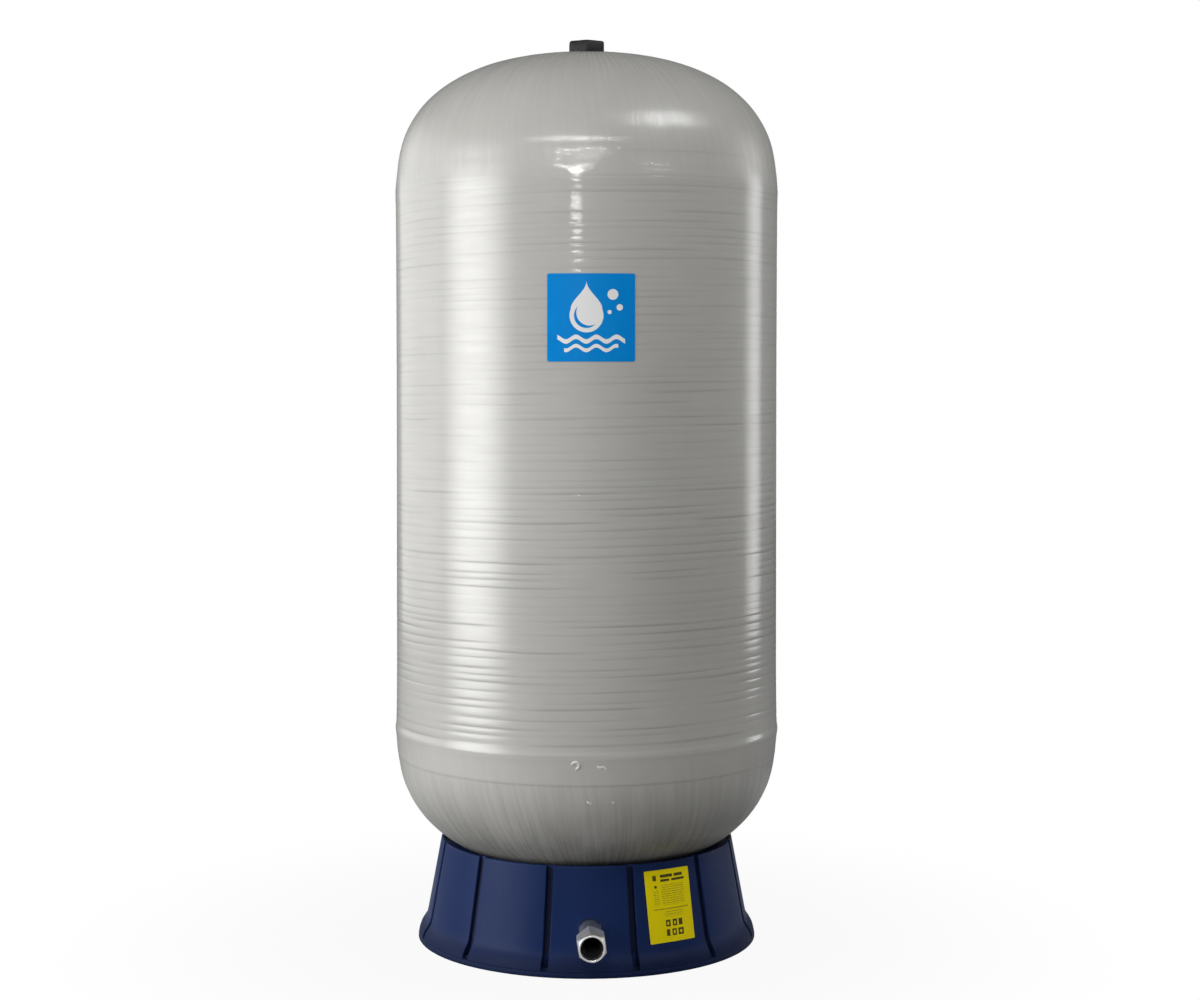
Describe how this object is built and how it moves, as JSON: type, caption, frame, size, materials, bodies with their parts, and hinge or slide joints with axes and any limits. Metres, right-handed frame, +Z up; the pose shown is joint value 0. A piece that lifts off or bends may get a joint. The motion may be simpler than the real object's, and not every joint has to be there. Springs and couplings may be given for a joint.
{
  "type": "well pressure tank",
  "caption": "Tall fibre-wound pressure tank with domed heads on a fluted moulded base, with a bottom outlet pipe, a hexagonal air valve cap and a diaphragm inside.",
  "frame": {"origin": "on the floor, on the tank's upright axis, at the middle of the base's ring-shaped foot", "axes": "+Z up along the tank's axis, -Y toward the outlet's mouth at the front, +X to the right as seen from the front"},
  "size_m": [0.6154, 0.6578, 1.4395],
  "materials": {
    "wound_laminate": "gloss",
    "base_plastic": "satin",
    "fitting_plastic": "satin",
    "seal_rubber": "matte",
    "washer_steel": "satin",
    "pipe_steel": "satin",
    "diaphragm_rubber": "matte",
    "clench_steel": "satin",
    "cap_plastic": "satin",
    "valve_brass": "satin",
    "spring_steel": "satin",
    "blue_film": "gloss",
    "yellow_film": "gloss"
  },
  "bodies": {
    "tank": {"wound_shell": "wound_laminate", "base_skirt": "base_plastic", "base_cradle": "base_plastic", "water_fitting": "fitting_plastic", "fitting_gasket": "seal_rubber", "fitting_washer": "washer_steel", "lock_nut": "fitting_plastic", "elbow": "fitting_plastic", "outlet_pipe": "pipe_steel", "outlet_coupling": "pipe_steel", "diaphragm": "diaphragm_rubber", "clench_ring": "clench_steel", "top_boss": "fitting_plastic", "valve_stem": "valve_brass", "stem_gasket": "seal_rubber", "stem_nut": "valve_brass", "valve_core_barrel": "valve_brass", "valve_core_spring": "spring_steel", "blue_sticker": "blue_film", "yellow_sticker": "yellow_film"},
    "cap_seal": {"cap_gasket": "seal_rubber"},
    "cap": {"air_valve_cap": "cap_plastic"},
    "core_pin": {"valve_core_pin": "valve_brass", "valve_core_seal": "seal_rubber"}
  },
  "joints": [
    {"name": "cap_rise", "type": "slide", "parent": "tank", "child": "cap_seal", "axis": [0, 0, 1], "range_m": [0, 0.012]},
    {"name": "cap_turn", "type": "hinge", "parent": "cap_seal", "child": "cap", "pos_m": [0, 0, 1.42], "axis": [0, 0, 1], "range_deg": [0, 1440]},
    {"name": "core_pin_press", "type": "slide", "parent": "tank", "child": "core_pin", "axis": [0, 0, -1], "range_m": [0, 0.0015], "stiffness_N_per_m": 1000, "springref_m": -0.004, "deforming": ["valve_core_spring"]}
  ],
  "couplings": [
    {"joint": "cap_rise", "follows": "cap_turn", "m_per_rad": 0.00047746}
  ]
}
